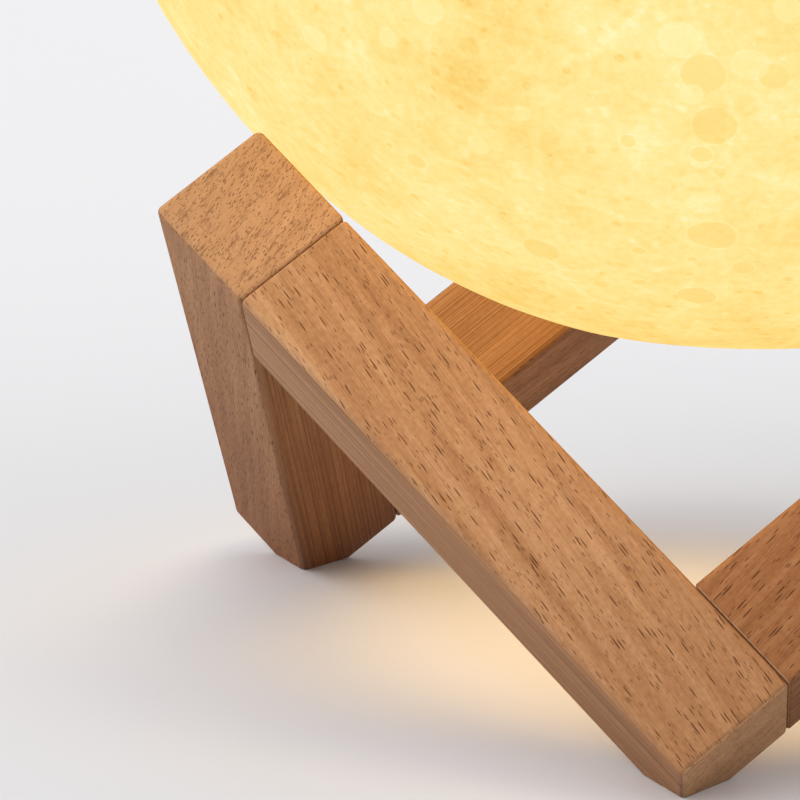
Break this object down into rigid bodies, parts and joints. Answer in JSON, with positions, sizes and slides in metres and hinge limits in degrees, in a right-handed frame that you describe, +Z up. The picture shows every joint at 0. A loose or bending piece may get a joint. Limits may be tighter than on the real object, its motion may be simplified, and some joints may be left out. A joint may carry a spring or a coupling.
{
  "type": "moon lamp",
  "caption": "Glowing textured moon globe with a base unit let into its underside, resting on a zigzag ring of square wooden bars that stands on cut corners.",
  "frame": {"origin": "on the vertical axis of the ring and the moon, at the floor", "axes": "+Z up, one foot of the ring points to -Y, which is the front"},
  "size_m": [0.15, 0.15, 0.1856],
  "materials": {
    "beech": "planed and oiled",
    "dowel_wood": "bare",
    "moon_print": "printed, cratered, glowing",
    "grey_rubber": "soft",
    "white_plastic": "moulded satin",
    "bright_metal": "brushed",
    "screw_steel": "plated",
    "cell_wrap": "shrink wrap",
    "board_green": "solder mask",
    "chip_black": "moulded",
    "led_aluminium": "bare",
    "led_light": "lit",
    "frosted_plastic": "frosted",
    "lead_red": "insulated"
  },
  "bodies": {
    "stand": {"rest_bar_1": "beech", "rest_bar_2": "beech", "rest_bar_3": "beech", "brace_bar_1": "beech", "brace_bar_2": "beech", "brace_bar_3": "beech", "top_dowels": "dowel_wood", "foot_dowels": "dowel_wood"},
    "moon": {"moon_shell": "moon_print", "seal_ring": "grey_rubber", "base_cup": "white_plastic", "trim_ring": "bright_metal", "bottom_plate": "white_plastic", "plate_screws": "screw_steel", "battery_cell": "cell_wrap", "cell_pad": "grey_rubber", "control_board": "board_green", "board_parts": "chip_black", "charging_socket": "bright_metal", "socket_tongue": "chip_black", "switch_board": "board_green", "tact_switch": "chip_black", "led_plate": "led_aluminium", "led_chips": "led_light", "led_screws": "screw_steel", "light_dome": "frosted_plastic", "battery_leads": "lead_red", "led_leads": "lead_red"},
    "button": {"push_button": "white_plastic", "switch_plunger": "chip_black"}
  },
  "joints": [
    {"name": "moon_lift", "type": "slide", "parent": "stand", "child": "moon", "axis": [0, 0, 1], "range_m": [0, 0.06]},
    {"name": "button_press", "type": "slide", "parent": "moon", "child": "button", "axis": [0, 0, 1], "range_m": [0, 0.001], "stiffness_N_per_m": 400}
  ]
}
